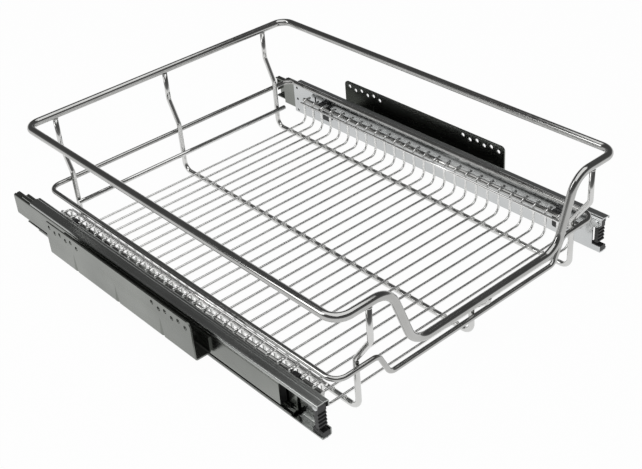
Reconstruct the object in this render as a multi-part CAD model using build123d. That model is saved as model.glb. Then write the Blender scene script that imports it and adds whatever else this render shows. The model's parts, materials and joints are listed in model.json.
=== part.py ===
from build123d import *
import os

# Pull-out wire basket for a kitchen cabinet, on a pair of telescopic ball slides.
# X runs across the cabinet, -Y is the way the basket is pulled, Z is up.
# Sizes are in millimetres. Everything is drawn in the basket's own frame, whose origin is
# the middle of the basket at the height of its middle ring, and is moved at export so that
# the origin is the middle of the base of the whole product.

# ---- wires -------------------------------------------------------------------------------
RIM_D = 8.0                # top rim
RING_D = 5.0               # middle ring and rear low wire
POST_D = 5.4               # the three wires that form posts and floor bearers
SIDE_D = 5.0               # side wires that lie in the clips
FLOOR_D = 2.8              # floor wires
TIE_D = 2.6                # thin wires along the inside of the floor wires' uprights
WELD_GAP = 0.1             # clearance left at every welded crossing
WIRE_SIDES = 8             # flat sides of a thick wire's section
FLOOR_SIDES = 6
SMALL_SIDES = 8            # flat sides of rivets, pins and small punched holes

# ---- basket ------------------------------------------------------------------------------
RIM_HALF_X = 169.5         # centre line of the rim; the rest of the basket follows it
RIM_HALF_Y = 232.5
RIM_Z = 72.0
RIM_CORNER_R = 14.0
RIM_DIP_IN = 55.5          # where the front of the rim starts to drop, from its side
RIM_DIP_RUN = 24.0         # sideways run of the sloping part
RIM_DIP_Z = 5.0
RIM_DIP_R = 24.0

RING_IN_X = 6.0            # middle ring inside the rim: sides, back, front
RING_IN_BACK = 7.5
RING_IN_FRONT = 14.0
RING_CORNER_R = 12.0
RING_DIP_IN = 46.5
RING_DIP_RUN = 12.0
RING_DIP_Z = -25.0
RING_DIP_R = 9.0

LOW_WIRE_Z = -24.5         # second wire across the back, inside the back posts
LOW_WIRE_OVER = (3.0, 7.5) # how far it runs past the left and the right post

POST_IN_X = 32.8           # outer posts inside the rim's sides
BEARER_Z = -47.3           # centre height of the floor bearers
BACK_KINK = (37.0, 10.0)   # heights where the back posts step inwards
FRONT_KINK = (34.0, 6.0)
MID_KINK = (-2.5, -17.0)   # the middle front post starts under the dipped rim
KINK_R = 8.0
MID_KINK_R = 5.0
BEARER_BEND_R = 10.0

FLOOR_COUNT = 27
FLOOR_IN_X = 10.3          # where the floor wires turn up, inside the rim's sides
FLOOR_IN_Y = 37.5          # first and last floor wire inside the rim's ends
FLOOR_BEND = 6.5           # corner cut of the lower bend
SIDE_IN_X = 3.9            # side wires inside the rim's sides
SIDE_Z = -19.4
TIP_OVER = 2.9             # how far a floor wire's tip runs past the side wire's centre
SIDE_OVER = 8.0            # how far side wires run past the first and last floor wires
TIE_RISE = 1.0             # tie wire above the side wire's centre

# ---- slides ------------------------------------------------------------------------------
SLIDE_Z = -28.0            # centre height of the slides
DRAWER_OUT_X = 3.5         # inner face of the drawer rail's web outside the rim's centre line
DRAWER_IN_Y = 12.5         # drawer rail's front behind the rim's centre line
DRAWER_LEN = 450.0
DRAWER_HALF_H = 19.0
DRAWER_T = 1.2
DRAWER_TOP_W = 13.5
DRAWER_LOW_W = 11.0
DRAWER_LIP = 3.0
SHEET_R = 1.6              # bend radius at the middle of a sheet
MIDDLE_R = 0.9

MIDDLE_BACK = 38.0         # middle rail's front behind the drawer rail's front
MIDDLE_LEN = 434.0
MIDDLE_T = 1.0
MIDDLE_GAP = 1.0           # between the webs of the drawer rail and the middle rail
MIDDLE_W = 8.6

CABINET_BACK = 50.0        # cabinet rail's front behind the drawer rail's front
CABINET_LEN = 440.0
CABINET_T = 1.2
CABINET_WEB_U = 10.5       # inner face of the cabinet rail's web, from the drawer rail's web
CABINET_W = 7.3
REAR_TAB_W = 5.7           # tab bent in at the cabinet rail's rear end
REAR_TAB_LOW = -5.0        # its lower edge from the slide's centre height

BALL_D = 3.0
RACE_DEPTH = 0.45          # depth of a raceway
RACE_W = 2.6               # width of a raceway
RACE_FLOOR_W = 1.0         # width of its flat bottom
BALL_GAP = 0.05            # running clearance on each side of a ball
OUTER_ROW_U = 5.1          # ball rows between drawer rail and middle rail
INNER_ROW_U = 8.0          # ball rows between middle rail and cabinet rail
CAGE_T = 0.5
CAGE_POCKET_GAP = 0.15
POCKET_SIDES = 6
CAGE_RIM = 0.4             # cage beyond its pockets
CAGE_LEN = 160.0
BALL_FLAT_SHARE = 1.225    # a ball's radius over the distance of its facets from its centre
BALLS_PER_ROW = 3
BALL_PITCH = 66.0

# ---- cabinet side ------------------------------------------------------------------------
BRACKET_U = 29.4           # face that is screwed to the cabinet wall, from the drawer rail's web
BRACKET_T = 1.5
BRACKET_TOP_Z = 4.0
BRACKET_LOW_Z = -36.5
BRACKET_IN_Y = 102.0       # bracket's rear end before the cabinet rail's rear end
BRACKET_LEN = 244.0
BRACKET_FLANGE_H = 17.0
BRACKET_BEND_R = 2.5
BRACKET_CORNER_R = 5.0
SCREW_D = 4.6
SCREW_PITCH = 10.0
SCREWS_PER_GROUP = 6
SCREW_END = 8.0            # first hole from the bracket's end
SCREW_DROP = 5.6           # upper row below the bracket's top edge
SCREW_STEP = 2.2           # lower row below the upper row
GUSSET_COUNT = 3
GUSSET_PITCH = 73.0
GUSSET_W = 7.0             # width at its foot
GUSSET_H = 23.0
GUSSET_DEPTH = 4.0
SEAT_GAP = 0.05            # between sheets that are riveted together
RIVET_D = 5.0
RIVET_HEAD_D = 9.0
RIVET_HEAD_H = 1.2
RIVET_COUNT = 3
RIVET_PITCH = 98.0
RIVET_V = -1.0

STOP_LEN = 12.0            # black stop inside the front of the cabinet rail
STOP_GAP = 0.1

# ---- drawer rail fittings ----------------------------------------------------------------
WINDOW = ((-1, -11.5), (9.0, -11.5), (9.0, 7.6), (3.5, 9.3), (-1, 13.0))
                           # window for the release lever: distance from the rail's front, and
                           # height over the slide's centre height
LEVER_LEN = 5.0
LEVER_BACK = 2.5           # how far the lever stands behind the rail's front
LEVER_OUT_U = 10.4
LEVER_TOP = 9.8
LEVER_LOW = -9.2
LEVER_GAP = 0.4
LEVER_RIBS = 5
LEVER_RIB_DEPTH = 1.1
PIN_D = 3.0
PIN_FIT = 0.05
PIN_V = 13.2               # pin above the slide's centre height
PIN_Y = 5.0                # pin behind the rail's front
PIN_HEAD_D = 5.0
PIN_HEAD_H = 0.8
LUG_HALF_W = 2.5
LUG_TOP = 16.2

CAP_LEN = 12.0
CAP_V = -11.9
CAP_GAP = 0.1

CLIP_LEN = 16.0            # lower pad of a side clip
CLIP_TOP_LEN = 8.0         # upper part, which grips the side wire
CLIP_T = 2.6
CLIP_TOP_Z = -14.8
CLIP_STEP_Z = -24.0
CLIP_LOW_Z = -38.0
CLIP_BOSS_H = 8.4
CLIP_LIP = 1.0             # how far the boss reaches past the side wire's centre
CLIP_GAP = 0.1
CLIP_STUD_D = 4.0
CLIP_WIRES = 11.5          # clips sit this many floor pitches from the middle
REAR_HOLE_D = 3.0
REAR_HOLE_PITCH = 14.5
REAR_HOLE_IN = 6.0         # from the drawer rail's rear end
REAR_SLOT = (2.4, 9.0)
REAR_SLOT_IN = 39.0
REAR_SLOT_V = 4.5          # lower end of the slot

# ---- sizes that follow -------------------------------------------------------------------
RIM_DIP_TOP_X = RIM_HALF_X - RIM_DIP_IN
RIM_DIP_LOW_X = RIM_DIP_TOP_X - RIM_DIP_RUN
RING_HALF_X = RIM_HALF_X - RING_IN_X
RING_BACK_Y = RIM_HALF_Y - RING_IN_BACK
RING_FRONT_Y = RING_IN_FRONT - RIM_HALF_Y
RING_DIP_TOP_X = RING_HALF_X - RING_DIP_IN
RING_DIP_LOW_X = RING_DIP_TOP_X - RING_DIP_RUN
POST_HALF_X = RIM_HALF_X - POST_IN_X
POST_BACK_Y = RING_BACK_Y - (RING_D + POST_D) / 2 - WELD_GAP
POST_FRONT_Y = RING_FRONT_Y + (RING_D + POST_D) / 2 + WELD_GAP
POST_TOP_Z = RIM_Z - RIM_D / 2 - WELD_GAP
LOW_WIRE_Y = POST_BACK_Y - (RING_D + POST_D) / 2 - WELD_GAP
MID_TOP_Z = RIM_DIP_Z - RIM_D / 2 - WELD_GAP
FLOOR_Z = BEARER_Z + (POST_D + FLOOR_D) / 2 + WELD_GAP
TIP_Z = SIDE_Z + (SIDE_D + FLOOR_D) / 2 + WELD_GAP
SIDE_HALF_X = RIM_HALF_X - SIDE_IN_X
FLOOR_HALF_X = RIM_HALF_X - FLOOR_IN_X
FLOOR_HALF_Y = RIM_HALF_Y - FLOOR_IN_Y
FLOOR_PITCH = 2 * FLOOR_HALF_Y / (FLOOR_COUNT - 1)
TIP_X = SIDE_HALF_X + TIP_OVER
TIE_X = FLOOR_HALF_X - (FLOOR_D + TIE_D) / 2 - WELD_GAP
TIE_Z = SIDE_Z + TIE_RISE
CLIP_Y = CLIP_WIRES * FLOOR_PITCH

DRAWER_X = RIM_HALF_X + DRAWER_OUT_X
DRAWER_FRONT_Y = DRAWER_IN_Y - RIM_HALF_Y
MIDDLE_FRONT_Y = DRAWER_FRONT_Y + MIDDLE_BACK
CABINET_FRONT_Y = DRAWER_FRONT_Y + CABINET_BACK
DRAWER_MID_Y = DRAWER_FRONT_Y + DRAWER_LEN / 2
MIDDLE_MID_Y = MIDDLE_FRONT_Y + MIDDLE_LEN / 2
CABINET_MID_Y = CABINET_FRONT_Y + CABINET_LEN / 2
OUTER_CAGE_Y = (DRAWER_MID_Y + MIDDLE_MID_Y) / 2        # middle of the cages at rest
INNER_CAGE_Y = (MIDDLE_MID_Y + CABINET_MID_Y) / 2
RACE_GAP = BALL_D + 2 * BALL_GAP - 2 * RACE_DEPTH       # flat gap between two members
DRAWER_IN_V = DRAWER_HALF_H - DRAWER_T
MIDDLE_OUT_V = DRAWER_IN_V - RACE_GAP
MIDDLE_IN_V = MIDDLE_OUT_V - MIDDLE_T
CABINET_OUT_V = MIDDLE_IN_V - RACE_GAP
CABINET_IN_V = CABINET_OUT_V - CABINET_T
OUTER_ROW_V = DRAWER_IN_V - RACE_GAP / 2
INNER_ROW_V = MIDDLE_IN_V - RACE_GAP / 2
MIDDLE_WEB_U = DRAWER_T + MIDDLE_GAP
CABINET_FACE_U = CABINET_WEB_U + CABINET_T
FLANGE_U = CABINET_FACE_U + SEAT_GAP                    # bracket's inner flange
BRACKET_REAR_Y = CABINET_FRONT_Y + CABINET_LEN - BRACKET_IN_Y

BASE_Z = BEARER_Z - POST_D / 2
FRONT_END_Y = -RIM_HALF_Y - RIM_D / 2
REAR_END_Y = CABINET_FRONT_Y + CABINET_LEN
ORIGIN = Location((0, -(FRONT_END_Y + REAR_END_Y) / 2, -BASE_Z))


# ---- helpers -----------------------------------------------------------------------------
def flat_sided(diameter, sides):
    """A wire's section, with flats that face the axes."""
    return RegularPolygon(diameter / 2, sides, major_radius=False, rotation=180 / sides)


def bent_wire(points, radii, diameter, sides=WIRE_SIDES):
    """A wire along straight runs joined by arcs."""
    path = FilletPolyline(*points, radius=radii)
    return sweep(Plane(origin=path @ 0, z_dir=path % 0) * flat_sided(diameter, sides), path=path)


def straight_wire(start, end, diameter, sides=WIRE_SIDES):
    """A straight wire between two points."""
    axis = Vector(*end) - Vector(*start)
    return extrude(Plane(origin=start, z_dir=axis) * flat_sided(diameter, sides), axis.length)


def loop_wire(corners, radii, diameter):
    """A closed wire that starts in the middle of its back run."""
    start = tuple((a + b) / 2 for a, b in zip(corners[-1], corners[0]))
    half = [start] + corners[:len(corners) // 2]
    rest = corners[len(corners) // 2:]
    middle = tuple((a + b) / 2 for a, b in zip(half[-1], rest[0]))
    n = len(half) - 1
    first = bent_wire(half + [middle], radii[:n], diameter)
    second = bent_wire([middle] + rest + [start], radii[n:], diameter)
    return first + second


def on_side(profile_part, side):
    """Place a part drawn for the right-hand slide, mirrored for the left."""
    return profile_part if side > 0 else mirror(profile_part, about=Plane.YZ)


def slide_extrude(face, front_y, length):
    """Extrude a face drawn in slide coordinates (u outwards, v up) along the slide."""
    plane = Plane(origin=(DRAWER_X, front_y + length, SLIDE_Z), x_dir=(1, 0, 0), z_dir=(0, -1, 0))
    return extrude(plane * face, amount=length)


def sheet_section(points, bends, thickness):
    """Section of a bent sheet along a centre line; a bend radius of 0 leaves a sharp corner."""
    runs = [(Vector(*b) - Vector(*a)).normalized() for a, b in zip(points, points[1:])]
    outline, rounds = [], []
    for side in (1, -1):
        row = []
        for i, point in enumerate(points):
            before, after = runs[max(i - 1, 0)], runs[min(i, len(runs) - 1)]
            both = before + after
            corner = Vector(*point) + Vector(-both.Y, both.X) * (
                side * thickness / 2 / (1 + before.dot(after)))
            row.append(corner)
            if bends[i]:
                turn = 1 if before.cross(after).Z > 0 else -1
                rounds.append((corner, bends[i] - side * turn * thickness / 2))
        outline += row[::side]
    section = make_face(Polyline(*outline, close=True))
    for corner, radius in rounds:
        section = fillet(section.vertices().sort_by_distance(corner)[0], radius)
    return section


def raceway(start_u, end_u, race_u, v, depth):
    """Corners of a flange's shallow groove for a ball row, in the order of the flange."""
    way = 1 if end_u > start_u else -1
    half, low = way * RACE_W / 2, way * RACE_FLOOR_W / 2
    return [(race_u - half, v), (race_u - low, v + depth), (race_u + low, v + depth),
            (race_u + half, v)]


def both_ways(upper):
    """A channel's centre line from its upper half, mirrored about the slide's centre height."""
    return upper + [(u, -v) for u, v in upper[::-1]]


def block(u0, u1, v0, v1, y0, y1):
    """A box given in slide coordinates."""
    return Pos(DRAWER_X + u0, y0, SLIDE_Z + v0) * Box(
        u1 - u0, y1 - y0, v1 - v0, align=(Align.MIN, Align.MIN, Align.MIN))


def x_rod(u0, u1, y, v, diameter):
    """A round rod across the slide."""
    return Pos(DRAWER_X + u0, y, SLIDE_Z + v) * Rot(0, 90, 0) * Cylinder(
        diameter / 2, u1 - u0, align=(Align.CENTER, Align.CENTER, Align.MIN))


def x_stud(u0, u1, y, v, diameter):
    """A small rod across the slide, cut to flats."""
    plane = Plane(origin=(DRAWER_X + u0, y, SLIDE_Z + v), z_dir=(1, 0, 0))
    return extrude(plane * flat_sided(diameter, SMALL_SIDES), amount=u1 - u0)


# ---- basket wires ------------------------------------------------------------------------
def top_rim_wire():
    x, y, z = RIM_HALF_X, RIM_HALF_Y, RIM_Z
    corners = [(-x, y, z), (-x, -y, z),
               (-RIM_DIP_TOP_X, -y, z), (-RIM_DIP_LOW_X, -y, RIM_DIP_Z),
               (RIM_DIP_LOW_X, -y, RIM_DIP_Z), (RIM_DIP_TOP_X, -y, z),
               (x, -y, z), (x, y, z)]
    radii = [RIM_CORNER_R] * 2 + [RIM_DIP_R] * 4 + [RIM_CORNER_R] * 2
    return loop_wire(corners, radii, RIM_D)


def mid_ring_wire():
    x, front, back = RING_HALF_X, RING_FRONT_Y, RING_BACK_Y
    corners = [(-x, back, 0), (-x, front, 0),
               (-RING_DIP_TOP_X, front, 0), (-RING_DIP_LOW_X, front, RING_DIP_Z),
               (RING_DIP_LOW_X, front, RING_DIP_Z), (RING_DIP_TOP_X, front, 0),
               (x, front, 0), (x, back, 0)]
    radii = [RING_CORNER_R] * 2 + [RING_DIP_R] * 4 + [RING_CORNER_R] * 2
    return loop_wire(corners, radii, RING_D)


def rear_low_wire():
    left, right = (POST_HALF_X + over for over in LOW_WIRE_OVER)
    return straight_wire((-left, LOW_WIRE_Y, LOW_WIRE_Z), (right, LOW_WIRE_Y, LOW_WIRE_Z), RING_D)


def post_wire(x, front_top_z, front_kink, front_r):
    """One bent wire: back post, floor bearer, front post."""
    points = [(x, RIM_HALF_Y, POST_TOP_Z), (x, RIM_HALF_Y, BACK_KINK[0]),
              (x, POST_BACK_Y, BACK_KINK[1]), (x, POST_BACK_Y, BEARER_Z),
              (x, POST_FRONT_Y, BEARER_Z), (x, POST_FRONT_Y, front_kink[1]),
              (x, -RIM_HALF_Y, front_kink[0]), (x, -RIM_HALF_Y, front_top_z)]
    radii = [KINK_R, KINK_R, BEARER_BEND_R, BEARER_BEND_R, front_r, front_r]
    return bent_wire(points, radii, POST_D)


def floor_wire(y):
    """A floor wire: across the bearers, up at both sides and out over the side wires."""
    half = [(TIP_X, y, TIP_Z), (FLOOR_HALF_X, y, TIP_Z),
            (FLOOR_HALF_X, y, FLOOR_Z + FLOOR_BEND), (FLOOR_HALF_X - FLOOR_BEND, y, FLOOR_Z)]
    points = [(-px, py, pz) for px, py, pz in half] + half[::-1]
    path = Polyline(*points)
    section = Plane(origin=points[0], z_dir=path % 0) * flat_sided(FLOOR_D, FLOOR_SIDES)
    return sweep(section, path=path, transition=Transition.RIGHT)


def floor_wires():
    return [floor_wire((i - (FLOOR_COUNT - 1) / 2) * FLOOR_PITCH) for i in range(FLOOR_COUNT)]


def side_wire(side):
    half = FLOOR_HALF_Y + SIDE_OVER
    x = side * SIDE_HALF_X
    return straight_wire((x, -half, SIDE_Z), (x, half, SIDE_Z), SIDE_D)


def tie_wire(side):
    half = FLOOR_HALF_Y + FLOOR_D
    x = side * TIE_X
    return straight_wire((x, -half, TIE_Z), (x, half, TIE_Z), TIE_D)


# ---- slides ------------------------------------------------------------------------------
def drawer_rail(side):
    """Outward-opening channel that carries the basket."""
    t, h = DRAWER_T, DRAWER_HALF_H - DRAWER_T / 2
    top_u, low_u = DRAWER_TOP_W - t / 2, DRAWER_LOW_W - t / 2
    lip_v = DRAWER_HALF_H - DRAWER_LIP
    points = [(top_u, lip_v), (top_u, h), *raceway(top_u, t / 2, OUTER_ROW_U, h, RACE_DEPTH),
              (t / 2, h), (t / 2, -h), *raceway(t / 2, low_u, OUTER_ROW_U, -h, -RACE_DEPTH),
              (low_u, -h), (low_u, -lip_v)]
    corners = ((top_u, h), (t / 2, h), (t / 2, -h), (low_u, -h))
    bends = [SHEET_R if p in corners else 0 for p in points]
    rail = slide_extrude(sheet_section(points, bends, t), DRAWER_FRONT_Y, DRAWER_LEN)

    front, rear = DRAWER_FRONT_Y, DRAWER_FRONT_Y + DRAWER_LEN
    plane = Plane(origin=(DRAWER_X - 1, front, SLIDE_Z), x_dir=(0, 1, 0), z_dir=(1, 0, 0))
    rail -= extrude(plane * make_face(Polyline(*WINDOW, close=True)), amount=t + 2)
    rail -= x_stud(-1, t + 1, front + PIN_Y, PIN_V, PIN_D + 2 * PIN_FIT)
    for v in (-REAR_HOLE_PITCH, 0, REAR_HOLE_PITCH):
        rail -= x_stud(-1, t + 1, rear - REAR_HOLE_IN, v, REAR_HOLE_D)
    slot_w, slot_h = REAR_SLOT
    slot_y = rear - REAR_SLOT_IN
    rail -= block(-1, t + 1, REAR_SLOT_V, REAR_SLOT_V + slot_h, slot_y - slot_w / 2, slot_y + slot_w / 2)
    for clip_y in (-CLIP_Y, CLIP_Y):
        rail -= x_stud(-1, t + 1, clip_y, SIDE_Z - SLIDE_Z, CLIP_STUD_D + 2 * CLIP_GAP)
    return on_side(rail, side)


def middle_rail(side):
    """Outward-opening channel between the two ball rows."""
    h = MIDDLE_OUT_V - MIDDLE_T / 2
    web, end = MIDDLE_WEB_U + MIDDLE_T / 2, MIDDLE_WEB_U + MIDDLE_W
    upper = [(end, h), *raceway(end, web, INNER_ROW_U, h, RACE_DEPTH),
             *raceway(end, web, OUTER_ROW_U, h, -RACE_DEPTH), (web, h)]
    points = both_ways(upper)
    bends = [MIDDLE_R if p in ((web, h), (web, -h)) else 0 for p in points]
    section = sheet_section(points, bends, MIDDLE_T)
    return on_side(slide_extrude(section, MIDDLE_FRONT_Y, MIDDLE_LEN), side)


def cabinet_rail(side):
    """Inward-opening channel that is riveted to the bracket, with a tab at its rear end."""
    h = CABINET_OUT_V - CABINET_T / 2
    web, end = CABINET_WEB_U + CABINET_T / 2, CABINET_FACE_U - CABINET_W
    points = both_ways([(end, h), *raceway(end, web, INNER_ROW_U, h, -RACE_DEPTH), (web, h)])
    bends = [SHEET_R if p in ((web, h), (web, -h)) else 0 for p in points]
    section = sheet_section(points, bends, CABINET_T)
    rail = slide_extrude(section, CABINET_FRONT_Y, CABINET_LEN)
    rear = CABINET_FRONT_Y + CABINET_LEN
    rail += block(CABINET_FACE_U - REAR_TAB_W, web, REAR_TAB_LOW, h, rear - CABINET_T, rear)
    for y in rivet_places():
        rail -= x_stud(CABINET_WEB_U - 1, CABINET_FACE_U + 1, y, RIVET_V, RIVET_D + 2 * SEAT_GAP)
    return on_side(rail, side)


def ball_places(cage_y):
    return [cage_y + (i - (BALLS_PER_ROW - 1) / 2) * BALL_PITCH for i in range(BALLS_PER_ROW)]


def ball():
    """A ball, faceted: an eight-sided bar cut from all three directions."""
    flat = BALL_D / 2 / BALL_FLAT_SHARE
    bar = extrude(RegularPolygon(flat, 8, major_radius=False), BALL_D, both=True)
    return bar & (Rot(90, 0, 0) * bar) & (Rot(0, 90, 0) * bar)


def balls(side, row_u, row_v, cage_y):
    """The balls of an upper and a lower row."""
    one = ball()
    return [Pos(side * (DRAWER_X + row_u), y, SLIDE_Z + v) * one
            for v in (row_v, -row_v) for y in ball_places(cage_y)]


def ball_cage(side, web_u, row_u, row_v, cage_y):
    """A thin channel that spaces the balls of both rows."""
    t = CAGE_T
    arm_u = row_u + BALL_D / 2 + CAGE_RIM
    pocket = flat_sided(BALL_D + 2 * CAGE_POCKET_GAP, POCKET_SIDES)
    y0 = cage_y - CAGE_LEN / 2
    cage = block(web_u, web_u + t, -row_v - t / 2, row_v + t / 2, y0, y0 + CAGE_LEN)
    for v in (row_v, -row_v):
        cage += block(web_u, arm_u, v - t / 2, v + t / 2, y0, y0 + CAGE_LEN)
        for y in ball_places(cage_y):
            cage -= Pos(DRAWER_X + row_u, y, SLIDE_Z + v) * extrude(pocket, 2 * t, both=True)
    return on_side(cage, side)


def outer_cage(side):
    return ball_cage(side, DRAWER_T + (MIDDLE_GAP - CAGE_T) / 2, OUTER_ROW_U, OUTER_ROW_V,
                     OUTER_CAGE_Y)


def inner_cage(side):
    return ball_cage(side, MIDDLE_WEB_U + MIDDLE_T + (MIDDLE_GAP - CAGE_T) / 2, INNER_ROW_U,
                     INNER_ROW_V, INNER_CAGE_Y)


# ---- cabinet side ------------------------------------------------------------------------
def rivet_places():
    middle = BRACKET_REAR_Y - BRACKET_LEN / 2
    return [middle + (i - (RIVET_COUNT - 1) / 2) * RIVET_PITCH for i in range(RIVET_COUNT)]


def screw_places():
    """Centres (y, z) of the wall screws: two groups, each hole a step up or down."""
    rear = BRACKET_REAR_Y - SCREW_END
    front = BRACKET_REAR_Y - BRACKET_LEN + SCREW_END + (SCREWS_PER_GROUP - 1) * SCREW_PITCH
    top = BRACKET_TOP_Z - SCREW_DROP
    return [(start - i * SCREW_PITCH, top - SCREW_STEP * (i % 2))
            for start in (rear, front) for i in range(SCREWS_PER_GROUP)]


def spacer_bracket(side):
    """U-shaped sheet bracket that holds the slide off the cabinet wall."""
    t = BRACKET_T
    face = BRACKET_U - t / 2
    flange = FLANGE_U + t / 2
    top, low = BRACKET_TOP_Z - SLIDE_Z, BRACKET_LOW_Z - SLIDE_Z + t / 2
    points = [(face, top), (face, low), (flange, low), (flange, low - t / 2 + BRACKET_FLANGE_H)]
    section = sheet_section(points, [0, BRACKET_BEND_R, BRACKET_BEND_R, 0], t)
    front = BRACKET_REAR_Y - BRACKET_LEN
    bracket = slide_extrude(section, front, BRACKET_LEN)

    middle = BRACKET_REAR_Y - BRACKET_LEN / 2
    for i in range(GUSSET_COUNT):
        y = middle + (i - (GUSSET_COUNT - 1) / 2) * GUSSET_PITCH
        bracket += gusset(BRACKET_U - t, low + t / 2, y, t)
        bracket -= gusset(BRACKET_U, low - t / 2, y, 0)
    for y, z in screw_places():
        bracket -= x_rod(face - t, face + t, y, z - SLIDE_Z, SCREW_D)
    for y in rivet_places():
        bracket -= x_stud(flange - t, flange + t, y, RIVET_V, RIVET_D + 2 * SEAT_GAP)
    tops = bracket.edges().filter_by(Axis.X).group_by(Axis.Z)[-1]
    bracket = fillet(tops, BRACKET_CORNER_R)
    return on_side(bracket, side)


def gusset(u, v, y, grow):
    """V-shaped rib pressed in at the bend: deepest at its foot, running out up the face."""
    half = GUSSET_W / 2 + grow
    x, z = DRAWER_X + u, SLIDE_Z + v
    foot = make_face(Polyline((x, y - half, z), (x, y + half, z), (x - GUSSET_DEPTH, y, z), close=True))
    return loft([foot, Vertex(x, y, z + GUSSET_H + grow)])


def bracket_rivets(side):
    rivets = []
    outer = FLANGE_U + BRACKET_T + SEAT_GAP
    inner = CABINET_WEB_U - SEAT_GAP
    for y in rivet_places():
        rivet = x_stud(inner, outer, y, RIVET_V, RIVET_D)
        rivet += x_stud(outer, outer + RIVET_HEAD_H, y, RIVET_V, RIVET_HEAD_D)
        rivet += x_stud(inner - RIVET_HEAD_H, inner, y, RIVET_V, RIVET_HEAD_D)
        rivets.append(on_side(rivet, side))
    return rivets


def front_stop(side):
    """Black stop inside the front end of the cabinet rail."""
    room = CABINET_IN_V - RACE_DEPTH - STOP_GAP
    front = CABINET_FRONT_Y
    stop = block(CABINET_FACE_U - CABINET_W, CABINET_WEB_U - STOP_GAP, -room, room,
                 front, front + STOP_LEN)
    outer = stop.faces().sort_by(Axis.X)[-1].edges().filter_by(Axis.Y)
    return on_side(chamfer(outer, SHEET_R), side)


# ---- drawer rail fittings ----------------------------------------------------------------
def release_lever(side):
    """Ribbed finger lever that hangs from a pin in the drawer rail's front."""
    front = DRAWER_FRONT_Y + LEVER_BACK
    top, low = LEVER_TOP, LEVER_LOW
    rib = (top - low) / LEVER_RIBS
    points = [(front + LEVER_LEN, low), (front + LEVER_LEN, top)]
    for i in range(LEVER_RIBS):
        v = top - i * rib
        points += [(front + LEVER_RIB_DEPTH, v), (front, v - rib / 3), (front, v - 2 * rib / 3)]
    points.append((front + LEVER_RIB_DEPTH, low))
    in_u = DRAWER_T + LEVER_GAP
    plane = Plane(origin=(DRAWER_X + in_u, 0, SLIDE_Z), x_dir=(0, 1, 0), z_dir=(1, 0, 0))
    grip = extrude(plane * make_face(Polyline(*points, close=True)), amount=LEVER_OUT_U - in_u)
    pin_y = DRAWER_FRONT_Y + PIN_Y
    lug = block(in_u, LEVER_OUT_U, top - 1, LUG_TOP, pin_y - LUG_HALF_W, pin_y + LUG_HALF_W)
    lug = chamfer(lug.edges().filter_by(Axis.X).group_by(Axis.Z)[-1], LUG_HALF_W / 2)
    bore = x_rod(in_u - 1, LEVER_OUT_U + 1, pin_y, PIN_V, PIN_D + 2 * PIN_FIT)
    return on_side(grip + lug - bore, side)


def lever_pin(side):
    y = DRAWER_FRONT_Y + PIN_Y
    end = LEVER_OUT_U + LEVER_GAP
    pin = x_rod(-PIN_FIT, end, y, PIN_V, PIN_D)
    pin += x_stud(-PIN_FIT - PIN_HEAD_H, -PIN_FIT, y, PIN_V, PIN_HEAD_D)
    pin += x_stud(end, end + PIN_HEAD_H, y, PIN_V, PIN_HEAD_D)
    return on_side(pin, side)


def front_cap(side):
    """Black plug in the front of the drawer rail's lower flange."""
    in_u, out_u = DRAWER_T + CAP_GAP, DRAWER_LOW_W - DRAWER_T - CAP_GAP
    plug = block(in_u, out_u, -DRAWER_IN_V + CAP_GAP, CAP_V, DRAWER_FRONT_Y, DRAWER_FRONT_Y + CAP_LEN)
    corners = plug.edges().filter_by(Axis.Y)
    return on_side(chamfer(corners, SHEET_R - DRAWER_T / 2), side)


def side_clip(side, y):
    """Black clip on the drawer rail that holds a side wire."""
    back = -CLIP_GAP
    wire_u, wire_v = SIDE_HALF_X - DRAWER_X, SIDE_Z - SLIDE_Z
    half, top_half = CLIP_LEN / 2, CLIP_TOP_LEN / 2
    pad = block(back - CLIP_T, back, CLIP_LOW_Z - SLIDE_Z, CLIP_STEP_Z - SLIDE_Z, y - half, y + half)
    pad = chamfer(pad.edges().filter_by(Axis.X), CLIP_T / 2)
    neck = block(back - CLIP_T, back, CLIP_STEP_Z - SLIDE_Z - CLIP_T, CLIP_TOP_Z - SLIDE_Z,
                 y - top_half, y + top_half)
    boss = block(wire_u - CLIP_LIP, back - CLIP_T, wire_v - CLIP_BOSS_H / 2, wire_v + CLIP_BOSS_H / 2,
                 y - top_half, y + top_half)
    bore = straight_wire((SIDE_HALF_X, y - CLIP_LEN, SIDE_Z), (SIDE_HALF_X, y + CLIP_LEN, SIDE_Z),
                         SIDE_D + 2 * CLIP_GAP)
    stud = x_stud(back, DRAWER_T - CLIP_GAP, y, wire_v, CLIP_STUD_D)
    return on_side(pad + neck + boss - bore + stud, side)


# ---- export ------------------------------------------------------------------------------
def slide_nodes(name, side):
    return {
        f"{name}_cabinet_rail": cabinet_rail(side),
        f"{name}_spacer_bracket": spacer_bracket(side),
        f"{name}_bracket_rivets": bracket_rivets(side),
        f"{name}_front_stop": front_stop(side),
        f"{name}_middle_rail": middle_rail(side),
        f"{name}_inner_ball_cage": inner_cage(side),
        f"{name}_inner_balls": balls(side, INNER_ROW_U, INNER_ROW_V, INNER_CAGE_Y),
        f"{name}_outer_ball_cage": outer_cage(side),
        f"{name}_outer_balls": balls(side, OUTER_ROW_U, OUTER_ROW_V, OUTER_CAGE_Y),
        f"{name}_drawer_rail": drawer_rail(side),
        f"{name}_front_cap": front_cap(side),
        f"{name}_rear_clip": side_clip(side, CLIP_Y),
        f"{name}_front_clip": side_clip(side, -CLIP_Y),
        f"{name}_release_lever": release_lever(side),
        f"{name}_lever_pin": lever_pin(side),
        f"{name}_side_wire": side_wire(side),
        f"{name}_tie_wire": tie_wire(side),
    }


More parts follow.
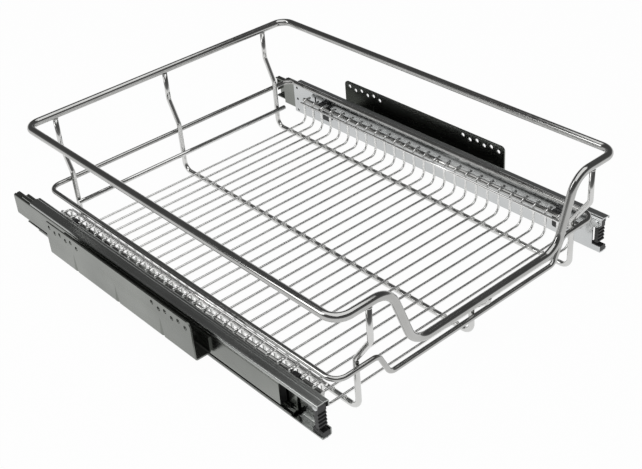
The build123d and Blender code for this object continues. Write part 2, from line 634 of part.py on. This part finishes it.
def all_nodes():
    nodes = {
        "top_rim_wire": top_rim_wire(),
        "mid_ring_wire": mid_ring_wire(),
        "rear_low_wire": rear_low_wire(),
        "left_post_wire": post_wire(-POST_HALF_X, POST_TOP_Z, FRONT_KINK, KINK_R),
        "centre_post_wire": post_wire(0, MID_TOP_Z, MID_KINK, MID_KINK_R),
        "right_post_wire": post_wire(POST_HALF_X, POST_TOP_Z, FRONT_KINK, KINK_R),
        "floor_wires": floor_wires(),
    }
    nodes.update(slide_nodes("left", -1))
    nodes.update(slide_nodes("right", 1))
    return nodes


os.makedirs("parts", exist_ok=True)
for node_name, node in all_nodes().items():
    solids = node if isinstance(node, list) else [node]
    placed = [s.moved(ORIGIN) for s in solids]
    shape = placed[0] if len(placed) == 1 else Compound(children=placed)
    export_step(shape, f"parts/{node_name}.step")
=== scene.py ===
import json
import math

import bmesh
import bpy
from mathutils import Matrix, Vector


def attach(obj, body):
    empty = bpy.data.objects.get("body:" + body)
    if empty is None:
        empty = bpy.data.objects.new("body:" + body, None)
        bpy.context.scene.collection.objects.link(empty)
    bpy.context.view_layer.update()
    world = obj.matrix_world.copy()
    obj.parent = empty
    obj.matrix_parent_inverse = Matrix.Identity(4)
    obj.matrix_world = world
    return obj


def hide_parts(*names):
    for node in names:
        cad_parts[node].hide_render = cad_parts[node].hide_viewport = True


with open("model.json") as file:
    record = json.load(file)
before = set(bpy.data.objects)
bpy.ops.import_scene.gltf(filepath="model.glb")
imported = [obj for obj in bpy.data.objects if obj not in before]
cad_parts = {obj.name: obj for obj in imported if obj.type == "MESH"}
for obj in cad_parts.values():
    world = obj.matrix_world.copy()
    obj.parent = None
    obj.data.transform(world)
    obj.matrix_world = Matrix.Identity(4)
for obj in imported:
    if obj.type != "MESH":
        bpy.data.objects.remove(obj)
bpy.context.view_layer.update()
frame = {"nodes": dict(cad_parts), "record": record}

# ---- the basket's own frame, in millimetres, as in the part's source ------------------------
MM = 0.001
SHIFT_Y, SHIFT_Z = -16.75, 50.0

RIM_R, RING_R, POST_R, SIDE_R, FLOOR_R, TIE_R = 4.0, 2.5, 2.7, 2.5, 1.4, 1.3
RIM_X, RIM_Y, RIM_Z = 169.5, 232.5, 72.0
RIM_CORNER, RIM_DIP_R, RIM_DIP_Z, RIM_DIP_TOP, RIM_DIP_LOW = 14.0, 24.0, 5.0, 114.0, 90.0
RING_X, RING_BACK, RING_FRONT, RING_CORNER = 163.5, 225.0, -218.5, 12.0
RING_DIP_TOP, RING_DIP_LOW, RING_DIP_Z, RING_DIP_R = 117.0, 105.0, -25.0, 9.0
LOW_WIRE_Y, LOW_WIRE_Z, LOW_WIRE_LEFT, LOW_WIRE_RIGHT = 214.4, -24.5, -139.7, 144.2
POST_X, BEARER_Z = 136.7, -47.3
POST_BACK, POST_FRONT = 219.7, -213.2
POST_BACK_KINK, POST_BACK_BENDS = (37, 10), [8, 8]
POST_FOOT_BENDS = [10, 10]
OUTER_KINK, OUTER_KINK_R = (34, 6), 8
CENTRE_KINK, CENTRE_KINK_R = (-2.5, -17), 5
FLOOR_X, FLOOR_Z, TIP_X, TIP_Z = 159.2, -43.1, 168.5, -15.4
FLOOR_BENDS, FLOOR_ARC_STEPS = [3, 8, 8, 3], 6
SIDE_X, SIDE_Z, SIDE_HALF = 165.6, -19.4, 203
TIE_X, TIE_Z, TIE_HALF = 156.4, -18.4, 197.8
PITCH, COUNT = 15.0, 27
SIDES = ("left", "right")

# ---- mesh fineness and welds -----------------------------------------------------------------
ARC_STEPS = 9
LOOP_SIDES, WIRE_SIDES, FLOOR_SIDES = 28, 24, 14
END_RING = 0.72
NUGGET_SEGMENTS, NUGGET_RINGS = 10, 6
BEARER_NUGGET = (2.0, 2.6, 0.9)
SIDE_NUGGET = (1.4, 1.2, 0.6)
RIM_NUGGET, RIM_NUGGET_SINK = (3.4, 3.3, 1.3), 0.3


def at(x, y, z):
    """A point of the basket's frame in the row frame, in metres."""
    return Vector((x * MM, (y + SHIFT_Y) * MM, (z + SHIFT_Z) * MM))


# ---- mesh helpers ------------------------------------------------------------------------
def rounded(points, radii, steps=ARC_STEPS):
    """Corner points of an open line, each replaced by points on an arc."""
    out = [points[0]]
    for a, b, c, r in zip(points, points[1:], points[2:], radii):
        to_a, to_c = (a - b).normalized(), (c - b).normalized()
        half = to_a.angle(to_c) / 2
        centre = b + (to_a + to_c).normalized() * (r * MM / math.sin(half))
        back = r * MM / math.tan(half)
        start, end = b + to_a * back, b + to_c * back
        turn = (start - centre).angle(end - centre)
        for i in range(steps + 1):
            t = i / steps
            p = ((start - centre) * math.sin((1 - t) * turn)
                 + (end - centre) * math.sin(t * turn))
            out.append(centre + p / math.sin(turn))
    out.append(points[-1])
    return out


def tube_into(bm, path, radius, sides, closed=False):
    """A round tube along a line; an open one gets flat ends."""
    radius *= MM
    n = len(path)
    tangents = []
    for i in range(n):
        a = path[i - 1] if i or closed else path[0]
        b = path[(i + 1) % n] if i < n - 1 or closed else path[-1]
        tangents.append((b - a).normalized())
    normal = tangents[0].orthogonal().normalized()
    rings = []
    for p, t in zip(path, tangents):
        normal = (normal - t * normal.dot(t)).normalized()
        side = t.cross(normal)
        rings.append([bm.verts.new(p + (normal * math.cos(k * math.tau / sides)
                                        + side * math.sin(k * math.tau / sides)) * radius)
                      for k in range(sides)])
    for a, b in zip(rings, rings[1:]):
        for k in range(sides):
            bm.faces.new((a[k], a[(k + 1) % sides], b[(k + 1) % sides], b[k])).smooth = True
    if closed:
        # The frame turns along the loop, so the last ring meets the nearest vertices of the first.
        last, first = rings[-1], rings[0]
        shift = min(range(sides), key=lambda s: (last[0].co - first[s].co).length)
        for k in range(sides):
            bm.faces.new((last[k], last[(k + 1) % sides], first[(k + 1 + shift) % sides],
                          first[(k + shift) % sides])).smooth = True
        return
    for ring, way in ((rings[0], -1), (rings[-1], 1)):
        c = sum((v.co for v in ring), Vector()) / sides
        small = [bm.verts.new(c + (v.co - c) * END_RING) for v in ring]
        for k in range(sides):
            q = (ring[k], ring[(k + 1) % sides], small[(k + 1) % sides], small[k])
            bm.faces.new(q if way > 0 else q[::-1])
        bm.faces.new(small if way > 0 else small[::-1])


def blob_into(bm, centre, size):
    """A small weld nugget: a ball stretched along its three axes."""
    made = bmesh.ops.create_uvsphere(bm, u_segments=NUGGET_SEGMENTS, v_segments=NUGGET_RINGS,
                                     radius=1.0)
    scale = Matrix.Diagonal((*(s * MM for s in size), 1.0))
    bmesh.ops.transform(bm, matrix=Matrix.Translation(centre) @ scale, verts=made["verts"])
    for v in made["verts"]:
        for f in v.link_faces:
            f.smooth = True


def finish_mesh(name, bm, material, body=None):
    """The bmesh as an object of the scene, on its body and with its slot where it has them."""
    bmesh.ops.recalc_face_normals(bm, faces=bm.faces)
    mesh = bpy.data.meshes.new(name)
    bm.to_mesh(mesh)
    bm.free()
    mesh.materials.append(material)
    obj = bpy.data.objects.new(name, mesh)
    bpy.context.scene.collection.objects.link(obj)
    if body:
        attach(obj, body)
    return obj


# ---- materials ---------------------------------------------------------------------------
GRAIN_DISTANCE = 0.0001
EVEN, DRAWN = (1, 1, 1), (1, 0.08, 1)


def node_material(name):
    mat = bpy.data.materials.new(name)
    mat.use_nodes = True
    tree = mat.node_tree
    tree.nodes.clear()
    out = tree.nodes.new("ShaderNodeOutputMaterial")
    bsdf = tree.nodes.new("ShaderNodeBsdfPrincipled")
    tree.links.new(bsdf.outputs[0], out.inputs["Surface"])
    return mat, tree, bsdf


def noise(tree, scale, stretch=EVEN, detail=3.0):
    """Noise in object coordinates, stretched along the axes; returns its 0..1 output."""
    coords = tree.nodes.new("ShaderNodeTexCoord")
    mapping = tree.nodes.new("ShaderNodeMapping")
    mapping.inputs["Scale"].default_value = stretch
    tex = tree.nodes.new("ShaderNodeTexNoise")
    tex.inputs["Scale"].default_value = scale
    tex.inputs["Detail"].default_value = detail
    tree.links.new(coords.outputs["Object"], mapping.inputs["Vector"])
    tree.links.new(mapping.outputs[0], tex.inputs["Vector"])
    return tex.outputs["Fac"]


def ramp(tree, factor, stops):
    """A colour ramp; each stop is a position and a grey or an RGB colour."""
    node = tree.nodes.new("ShaderNodeValToRGB")
    while len(node.color_ramp.elements) < len(stops):
        node.color_ramp.elements.new(0.5)
    for element, (pos, value) in zip(node.color_ramp.elements, stops):
        element.position = pos
        rgb = value if isinstance(value, tuple) else (value,) * 3
        element.color = (*rgb, 1)
    tree.links.new(factor, node.inputs[0])
    return node.outputs[0]


def grain(tree, bsdf, height, strength):
    node = tree.nodes.new("ShaderNodeBump")
    node.inputs["Strength"].default_value = strength
    node.inputs["Distance"].default_value = GRAIN_DISTANCE
    tree.links.new(height, node.inputs["Height"])
    tree.links.new(node.outputs[0], bsdf.inputs["Normal"])


def metal(name, low, high, rough, cloud_scale, stretch, grain_strength):
    """Bare or plated metal: cloudy tone, uneven polish and fine drawing marks."""
    mat, tree, bsdf = node_material(name)
    bsdf.inputs["Metallic"].default_value = 1.0
    cloud = noise(tree, cloud_scale, detail=4.0)
    tree.links.new(ramp(tree, cloud, [(0.3, low), (0.7, high)]), bsdf.inputs["Base Color"])
    polish = noise(tree, cloud_scale * 6, stretch)
    tree.links.new(ramp(tree, polish, [(0.25, rough[0]), (0.75, rough[1])]),
                   bsdf.inputs["Roughness"])
    grain(tree, bsdf, noise(tree, 900, stretch, 2.0), grain_strength)
    return mat


def plastic(name, colour, rough):
    """Moulded plastic: mottled tone, uneven sheen and a fine pebble grain."""
    mat, tree, bsdf = node_material(name)
    tone = noise(tree, 60)
    tree.links.new(ramp(tree, tone, [(0.3, colour), (0.7, tuple(c * 1.5 for c in colour))]),
                   bsdf.inputs["Base Color"])
    tree.links.new(ramp(tree, noise(tree, 300), [(0.3, rough[0]), (0.7, rough[1])]),
                   bsdf.inputs["Roughness"])
    grain(tree, bsdf, noise(tree, 1800, detail=2.0), 0.25)
    return mat


CHROME = metal("chrome_wire", (0.58, 0.58, 0.57), (0.66, 0.66, 0.65), (0.08, 0.16),
               25, EVEN, 0.04)
# Painted light: the same chrome with a lighter base colour, standing in for the brighter look of
# the floor and tie wires under the lamps.
PAINTED_LIGHT_CHROME = metal("chrome_wire_painted_light", (0.80, 0.80, 0.79), (0.88, 0.88, 0.87), (0.16, 0.26),
                      25, EVEN, 0.04)
# Painted shade: the same chrome with a darker base colour, standing in for the dark reflections on
# the rim, ring and side wires.
PAINTED_SHADE_CHROME = metal("chrome_wire_painted_shade", (0.40, 0.40, 0.39), (0.48, 0.48, 0.47), (0.08, 0.16),
                    25, EVEN, 0.04)
ZINC = metal("zinc_sheet", (0.50, 0.515, 0.52), (0.60, 0.61, 0.61), (0.14, 0.24),
             14, DRAWN, 0.12)
# Painted shade: the same zinc sheet with a much darker base colour, for parts that sit in shade
# and reflect dark surroundings.
PAINTED_SHADE_ZINC = metal("zinc_sheet_painted_shade", (0.19, 0.198, 0.185), (0.25, 0.26, 0.242), (0.20, 0.32),
                  14, DRAWN, 0.12)
# Painted shade at half strength: the same zinc sheet darkened for the left drawer rail, which is
# darker than the right one.
HALF_PAINTED_SHADE_ZINC = metal("zinc_sheet_half_painted_shade", (0.34, 0.35, 0.34), (0.42, 0.43, 0.42), (0.18, 0.28),
                 14, DRAWN, 0.12)
BALL = metal("bearing_steel", (0.60, 0.60, 0.60), (0.66, 0.66, 0.66), (0.06, 0.12),
             60, EVEN, 0.02)
BLACK = plastic("black_plastic", (0.012, 0.012, 0.013), (0.32, 0.48))

BY_SLOT = {"chrome_wire": CHROME, "zinc_sheet": ZINC, "black_plastic": BLACK,
           "bearing_steel": BALL}
# Nodes whose zinc is darkened as painted shade.
PAINTED_SHADE_ENDINGS = ("spacer_bracket", "cabinet_rail", "middle_rail", "bracket_rivets")
slot_of = {s["node"]: s["material_slot"] for s in frame["record"]["subparts"]}
for node_name, node in frame["nodes"].items():
    node.data.materials.clear()
    if node_name.endswith(PAINTED_SHADE_ENDINGS):
        look = PAINTED_SHADE_ZINC
    else:
        # The left drawer rail gets the zinc darkened as painted shade, the right one keeps the
        # plain zinc.
        look = HALF_PAINTED_SHADE_ZINC if node_name == "left_drawer_rail" else BY_SLOT[slot_of[node_name]]
    node.data.materials.append(look)


# ---- wires ---------------------------------------------------------------------------------
def replaced(obj, *nodes):
    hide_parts(*nodes)


def loop_piece(name, node, corners, radii, radius):
    """A closed wire with rounded corners that starts in the middle of its back run."""
    corners = [at(*c) for c in corners]
    start = (corners[-1] + corners[0]) / 2
    path = rounded([start] + corners + [start], radii)[:-1]
    bm = bmesh.new()
    tube_into(bm, path, radius, LOOP_SIDES, closed=True)
    # Rim and ring get the chrome darkened as painted shade.
    replaced(finish_mesh(name, bm, PAINTED_SHADE_CHROME, "basket"), node)


loop_piece("rim_tube", "top_rim_wire",
           [(-RIM_X, RIM_Y, RIM_Z), (-RIM_X, -RIM_Y, RIM_Z), (-RIM_DIP_TOP, -RIM_Y, RIM_Z),
            (-RIM_DIP_LOW, -RIM_Y, RIM_DIP_Z), (RIM_DIP_LOW, -RIM_Y, RIM_DIP_Z),
            (RIM_DIP_TOP, -RIM_Y, RIM_Z), (RIM_X, -RIM_Y, RIM_Z), (RIM_X, RIM_Y, RIM_Z)],
           [RIM_CORNER] * 2 + [RIM_DIP_R] * 4 + [RIM_CORNER] * 2, RIM_R)
loop_piece("ring_tube", "mid_ring_wire",
           [(-RING_X, RING_BACK, 0), (-RING_X, RING_FRONT, 0), (-RING_DIP_TOP, RING_FRONT, 0),
            (-RING_DIP_LOW, RING_FRONT, RING_DIP_Z), (RING_DIP_LOW, RING_FRONT, RING_DIP_Z),
            (RING_DIP_TOP, RING_FRONT, 0), (RING_X, RING_FRONT, 0), (RING_X, RING_BACK, 0)],
           [RING_CORNER] * 2 + [RING_DIP_R] * 4 + [RING_CORNER] * 2, RING_R)


def post_piece(name, node, px, front_top, kink, kink_r):
    """Back post, floor bearer and front post in one wire; kink is its upper and lower height."""
    points = [(px, RIM_Y, RIM_Z - RIM_R), (px, RIM_Y, POST_BACK_KINK[0]),
              (px, POST_BACK, POST_BACK_KINK[1]), (px, POST_BACK, BEARER_Z),
              (px, POST_FRONT, BEARER_Z), (px, POST_FRONT, kink[1]),
              (px, -RIM_Y, kink[0]), (px, -RIM_Y, front_top)]
    bends = POST_BACK_BENDS + POST_FOOT_BENDS + [kink_r, kink_r]
    bm = bmesh.new()
    tube_into(bm, rounded([at(*p) for p in points], bends), POST_R, WIRE_SIDES)
    replaced(finish_mesh(name, bm, CHROME, "basket"), node)


post_piece("left_post_tube", "left_post_wire", -POST_X, RIM_Z - RIM_R, OUTER_KINK, OUTER_KINK_R)
post_piece("right_post_tube", "right_post_wire", POST_X, RIM_Z - RIM_R, OUTER_KINK, OUTER_KINK_R)
post_piece("centre_post_tube", "centre_post_wire", 0, RIM_DIP_Z - RIM_R,
           CENTRE_KINK, CENTRE_KINK_R)


def straight_piece(name, node, a, b, radius, material):
    bm = bmesh.new()
    tube_into(bm, [at(*a), at(*b)], radius, WIRE_SIDES)
    replaced(finish_mesh(name, bm, material, "basket"), node)


straight_piece("rear_low_tube", "rear_low_wire",
               (LOW_WIRE_LEFT, LOW_WIRE_Y, LOW_WIRE_Z), (LOW_WIRE_RIGHT, LOW_WIRE_Y, LOW_WIRE_Z),
               RING_R, CHROME)
for side, sx in zip(SIDES, (-1, 1)):
    # Side wires get the chrome darkened as painted shade.
    straight_piece(f"{side}_side_tube", f"{side}_side_wire",
                   (sx * SIDE_X, -SIDE_HALF, SIDE_Z), (sx * SIDE_X, SIDE_HALF, SIDE_Z),
                   SIDE_R, PAINTED_SHADE_CHROME)
    # Tie wires get the chrome lightened as painted light.
    straight_piece(f"{side}_tie_tube", f"{side}_tie_wire",
                   (sx * TIE_X, -TIE_HALF, TIE_Z), (sx * TIE_X, TIE_HALF, TIE_Z),
                   TIE_R, PAINTED_LIGHT_CHROME)

floor_ys = [(i - (COUNT - 1) / 2) * PITCH for i in range(COUNT)]
bm = bmesh.new()
for fy in floor_ys:
    half = [(TIP_X, fy, TIP_Z), (FLOOR_X, fy, TIP_Z), (FLOOR_X, fy, FLOOR_Z)]
    points = [(-px, py, pz) for px, py, pz in half] + half[::-1]
    tube_into(bm, rounded([at(*p) for p in points], FLOOR_BENDS, FLOOR_ARC_STEPS),
              FLOOR_R, FLOOR_SIDES)
# The floor wires get the chrome lightened as painted light.
replaced(finish_mesh("floor_tubes", bm, PAINTED_LIGHT_CHROME, "basket"), "floor_wires")

BEARER_WELD_Z = (BEARER_Z + POST_R + FLOOR_Z - FLOOR_R) / 2
SIDE_WELD_Z = (SIDE_Z + SIDE_R + TIP_Z - FLOOR_R) / 2
bm = bmesh.new()
for fy in floor_ys:
    for px in (-POST_X, 0, POST_X):
        blob_into(bm, at(px, fy, BEARER_WELD_Z), BEARER_NUGGET)
    for sx in (-1, 1):
        blob_into(bm, at(sx * SIDE_X, fy, SIDE_WELD_Z), SIDE_NUGGET)
for px in (-POST_X, POST_X):
    for py in (RIM_Y, -RIM_Y):
        blob_into(bm, at(px, py, RIM_Z - RIM_R - RIM_NUGGET_SINK), RIM_NUGGET)
blob_into(bm, at(0, -RIM_Y, RIM_DIP_Z - RIM_R - RIM_NUGGET_SINK), RIM_NUGGET)
finish_mesh("weld_nuggets", bm, CHROME, "basket")

# ---- stage ---------------------------------------------------------------------------------
FLOOR_HALF, FLOOR_DROP = 6.0, 0.0005
FLOOR_COLOUR, FLOOR_OWN_LIGHT = 0.85, 0.975
SKY = [(0.0, 0.97), (0.05, 0.60), (0.14, 0.18), (0.45, 0.10), (1.0, 0.10)]


def studio_material(name, colour, own_light):
    """A pale surface that the camera, metal and glass see as near white, shadows kept."""
    mat = bpy.data.materials.new(name)
    mat.use_nodes = True
    tree = mat.node_tree
    tree.nodes.clear()
    out = tree.nodes.new("ShaderNodeOutputMaterial")
    diffuse = tree.nodes.new("ShaderNodeBsdfDiffuse")
    diffuse.inputs[0].default_value = (colour,) * 3 + (1,)
    glow = tree.nodes.new("ShaderNodeEmission")
    glow.inputs["Color"].default_value = (1, 1, 1, 1)
    mix = tree.nodes.new("ShaderNodeMixShader")
    path = tree.nodes.new("ShaderNodeLightPath")
    seen = tree.nodes.new("ShaderNodeMath")
    seen.operation = "MAXIMUM"
    either = tree.nodes.new("ShaderNodeMath")
    either.operation = "MAXIMUM"
    share = tree.nodes.new("ShaderNodeMath")
    share.operation = "MULTIPLY"
    share.inputs[1].default_value = own_light
    tree.links.new(path.outputs["Is Camera Ray"], seen.inputs[0])
    tree.links.new(path.outputs["Is Glossy Ray"], seen.inputs[1])
    tree.links.new(seen.outputs[0], either.inputs[0])
    tree.links.new(path.outputs["Is Transmission Ray"], either.inputs[1])
    tree.links.new(either.outputs[0], share.inputs[0])
    tree.links.new(share.outputs[0], mix.inputs[0])
    tree.links.new(diffuse.outputs[0], mix.inputs[1])
    tree.links.new(glow.outputs[0], mix.inputs[2])
    tree.links.new(mix.outputs[0], out.inputs[0])
    return mat


bm = bmesh.new()
bmesh.ops.create_grid(bm, x_segments=1, y_segments=1, size=FLOOR_HALF)
floor = finish_mesh("studio_floor", bm,
                    studio_material("studio_floor", FLOOR_COLOUR, FLOOR_OWN_LIGHT))
floor.location.z = -FLOOR_DROP

# The world is pale at the horizon and dark overhead: "Generated" Z is the sine of the elevation.
world = bpy.data.worlds.new("studio")
bpy.context.scene.world = world
world.use_nodes = True
tree = world.node_tree
tree.nodes.clear()
out = tree.nodes.new("ShaderNodeOutputWorld")
back = tree.nodes.new("ShaderNodeBackground")
coords = tree.nodes.new("ShaderNodeTexCoord")
split = tree.nodes.new("ShaderNodeSeparateXYZ")
tree.links.new(coords.outputs["Generated"], split.inputs[0])
tree.links.new(ramp(tree, split.outputs["Z"], SKY), back.inputs["Color"])
back.inputs["Strength"].default_value = 1.0
tree.links.new(back.outputs[0], out.inputs[0])


def area_light(name, place, look_at, size, power):
    lamp = bpy.data.lights.new(name, "AREA")
    lamp.shape = "RECTANGLE"
    lamp.size, lamp.size_y = size
    lamp.energy = power
    obj = bpy.data.objects.new(name, lamp)
    obj.location = place
    obj.rotation_euler = (Vector(look_at) - Vector(place)).to_track_quat("-Z", "Y").to_euler()
    bpy.context.scene.collection.objects.link(obj)


area_light("top_panel", (-0.05, -0.1, 1.5), (-0.05, -0.1, 0), (1.8, 1.7), 13)
area_light("side_strip", (-1.5, 0.9, 1.3), (0, 0, 0.05), (0.5, 1.2), 7)

# ---- camera: fitted to the rim, ring and floor wires in the photograph ------------------------
CAMERA_AT = (-0.6005, -0.7771, 0.6512)
AZIMUTH, ELEVATION, ROLL = (math.radians(a) for a in (38.902, 33.506, -4.952))
LENS, SENSOR_WIDTH, SHIFT = 64.87, 36.0, (-0.0036, 0.0014)
forward = Vector((math.sin(AZIMUTH) * math.cos(ELEVATION), math.cos(AZIMUTH) * math.cos(ELEVATION),
                  -math.sin(ELEVATION)))
right = Vector((math.cos(AZIMUTH), -math.sin(AZIMUTH), 0))
up = right.cross(forward)
right_rolled = right * math.cos(ROLL) + up * math.sin(ROLL)
up_rolled = up * math.cos(ROLL) - right * math.sin(ROLL)
cam_data = bpy.data.cameras.new("camera")
cam_data.lens = LENS
cam_data.sensor_width = SENSOR_WIDTH
cam_data.shift_x, cam_data.shift_y = SHIFT
camera = bpy.data.objects.new("camera", cam_data)
bpy.context.scene.collection.objects.link(camera)
turn = Matrix((right_rolled, up_rolled, -forward)).transposed().to_4x4()
camera.matrix_world = Matrix.Translation(CAMERA_AT) @ turn
bpy.context.scene.camera = camera

bpy.context.scene.view_settings.view_transform = "Standard"
